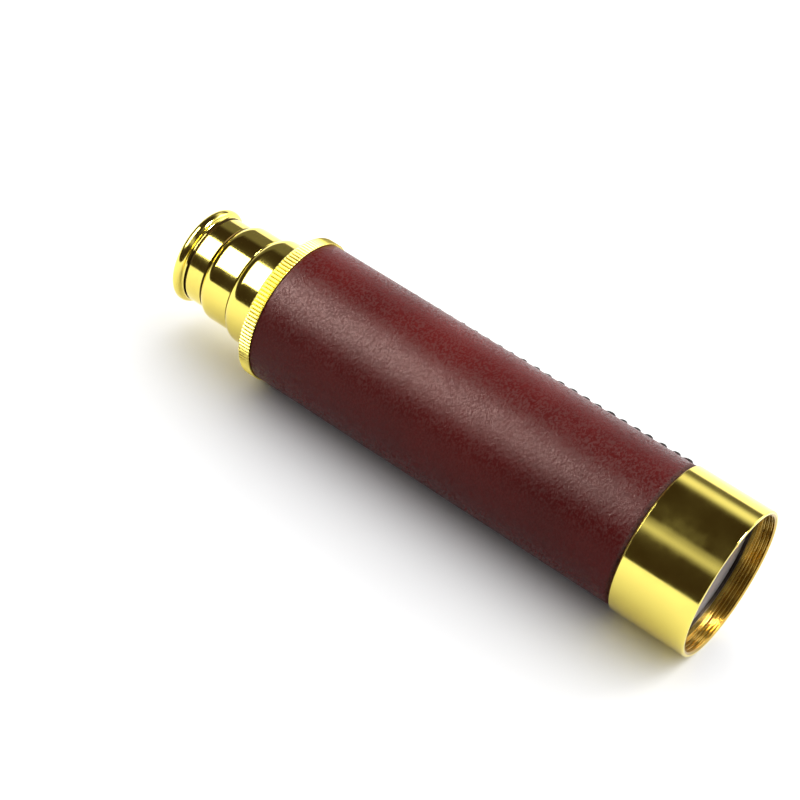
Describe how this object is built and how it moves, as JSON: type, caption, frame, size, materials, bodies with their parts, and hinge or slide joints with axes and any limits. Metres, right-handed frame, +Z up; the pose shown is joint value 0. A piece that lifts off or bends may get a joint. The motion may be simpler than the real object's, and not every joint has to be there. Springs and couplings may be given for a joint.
{
  "type": "pocket draw telescope",
  "caption": "Pocket spyglass with a leather-covered barrel, polished brass objective bell, knurled ring and nested sliding draw tubes ending in a flared eyecup.",
  "frame": {"origin": "centre of the objective bell's rim, on the optical axis (the thread starts 0.3 mm behind it)", "axes": "+X along the optical axis, out of the objective end; -X towards the eye end; +Z up with the telescope lying on its side; +Y completes the right-handed frame"},
  "size_m": [0.1546, 0.038, 0.038],
  "materials": {
    "polished_brass": "polished and lacquered",
    "satin_brass": "fine turned, lightly tarnished",
    "blackened_brass": "blackened, matt",
    "burgundy_leather": "fine grained, waxed",
    "thread": "waxed dark thread",
    "felt": "dense felt",
    "optical_glass": "polished, thin coating"
  },
  "bodies": {
    "barrel": {"objective_bell": "polished_brass", "objective_retaining_ring": "blackened_brass", "crown_lens": "optical_glass", "flint_lens": "optical_glass", "barrel_tube": "satin_brass", "leather_wrap": "burgundy_leather", "seam_stitching": "thread", "knurled_collar": "polished_brass", "barrel_guide_bush": "felt"},
    "draw_1_slider": {"draw_1_stop_ring": "satin_brass"},
    "draw_1": {"draw_1_tube": "satin_brass", "draw_1_collar": "polished_brass", "draw_1_guide_bush": "felt"},
    "draw_2_slider": {"draw_2_stop_ring": "satin_brass"},
    "draw_2": {"draw_2_tube": "satin_brass", "draw_2_collar": "polished_brass", "draw_2_guide_bush": "felt"},
    "draw_3_slider": {"draw_3_stop_ring": "satin_brass"},
    "draw_3": {"draw_3_tube": "satin_brass", "erector_tube": "blackened_brass", "erector_front_lens": "optical_glass", "erector_front_spacer": "satin_brass", "erector_aperture_stop": "blackened_brass", "erector_rear_spacer": "satin_brass", "erector_rear_lens": "optical_glass", "erector_retaining_ring": "satin_brass", "eyepiece_tube": "blackened_brass", "field_lens": "optical_glass", "field_lens_ring": "satin_brass", "field_stop": "blackened_brass", "eye_lens": "optical_glass", "eye_lens_ring": "satin_brass", "eyecup": "polished_brass"}
  },
  "joints": [
    {"name": "draw_1_slide", "type": "slide", "parent": "barrel", "child": "draw_1_slider", "axis": [-1, 0, 0], "range_m": [0, 0.072]},
    {"name": "draw_1_turn", "type": "hinge", "parent": "draw_1_slider", "child": "draw_1", "pos_m": [-0.1, 0, 0], "axis": [1, 0, 0], "continuous": true},
    {"name": "draw_2_slide", "type": "slide", "parent": "draw_1", "child": "draw_2_slider", "axis": [-1, 0, 0], "range_m": [0, 0.072]},
    {"name": "draw_2_turn", "type": "hinge", "parent": "draw_2_slider", "child": "draw_2", "pos_m": [-0.1, 0, 0], "axis": [1, 0, 0], "continuous": true},
    {"name": "draw_3_slide", "type": "slide", "parent": "draw_2", "child": "draw_3_slider", "axis": [-1, 0, 0], "range_m": [0, 0.072]},
    {"name": "draw_3_turn", "type": "hinge", "parent": "draw_3_slider", "child": "draw_3", "pos_m": [-0.1, 0, 0], "axis": [1, 0, 0], "continuous": true}
  ]
}
